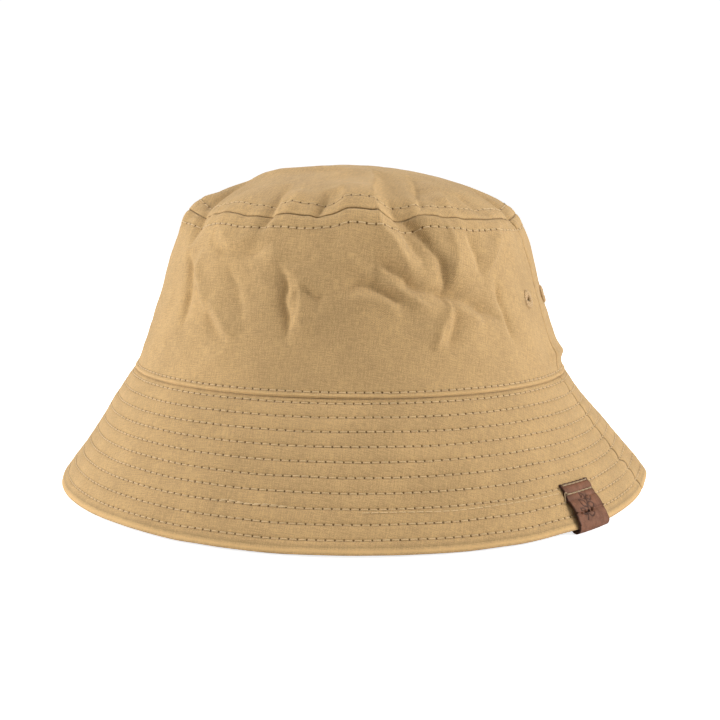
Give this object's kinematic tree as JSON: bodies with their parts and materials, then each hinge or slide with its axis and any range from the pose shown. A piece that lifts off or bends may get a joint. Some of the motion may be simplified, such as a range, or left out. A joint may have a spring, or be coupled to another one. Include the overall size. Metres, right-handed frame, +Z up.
{
  "type": "bucket hat",
  "caption": "Soft twill bucket hat with an oval crown, a downward flared quilted brim, vent eyelets and a leather tag folded over the brim's edge.",
  "frame": {"origin": "on the table, under the middle of the hat", "axes": "+Z up, the wearer faces -Y, +X to the wearer's left; the crown's oval is longest along Y"},
  "size_m": [0.244, 0.258, 0.1313],
  "materials": {
    "twill": "matt cotton twill, faint slub",
    "interlining": "matt felted sheet",
    "seam_tape": "matt cotton tape",
    "sweatband_twill": "matt cotton twill",
    "thread": "spun thread, slight sheen",
    "embroidery": "satin-stitched thread",
    "tag_leather": "smooth, debossed",
    "tag_thread": "spun thread",
    "woven_label": "woven, slight sheen",
    "care_satin": "soft satin"
  },
  "bodies": {
    "hat": {"crown_tip": "twill", "crown_side_front": "twill", "crown_side_back": "twill", "tip_seam_binding": "seam_tape", "side_seam_binding_left": "seam_tape", "side_seam_binding_right": "seam_tape", "sweatband": "sweatband_twill", "brim_upper_front": "twill", "brim_upper_back": "twill", "brim_interlining_front": "interlining", "brim_interlining_back": "interlining", "brim_under_front": "twill", "brim_under_back": "twill", "brim_needle_threads": "thread", "brim_bobbin_threads": "thread", "crown_base_topstitch": "thread", "tip_topstitch_lower": "thread", "tip_topstitch_upper": "thread", "sweatband_stitch": "thread", "eyelets_left": "embroidery", "eyelets_right": "embroidery", "brim_tag": "tag_leather", "tag_stitching": "tag_thread", "inner_label": "woven_label"},
    "care_flap": {"care_label": "care_satin"}
  },
  "joints": [
    {"name": "care_label_hinge", "type": "hinge", "parent": "hat", "child": "care_flap", "pos_m": [0, 0.08221, 0.08211], "axis": [1, 0, 0], "range_deg": [-80, 6]}
  ]
}
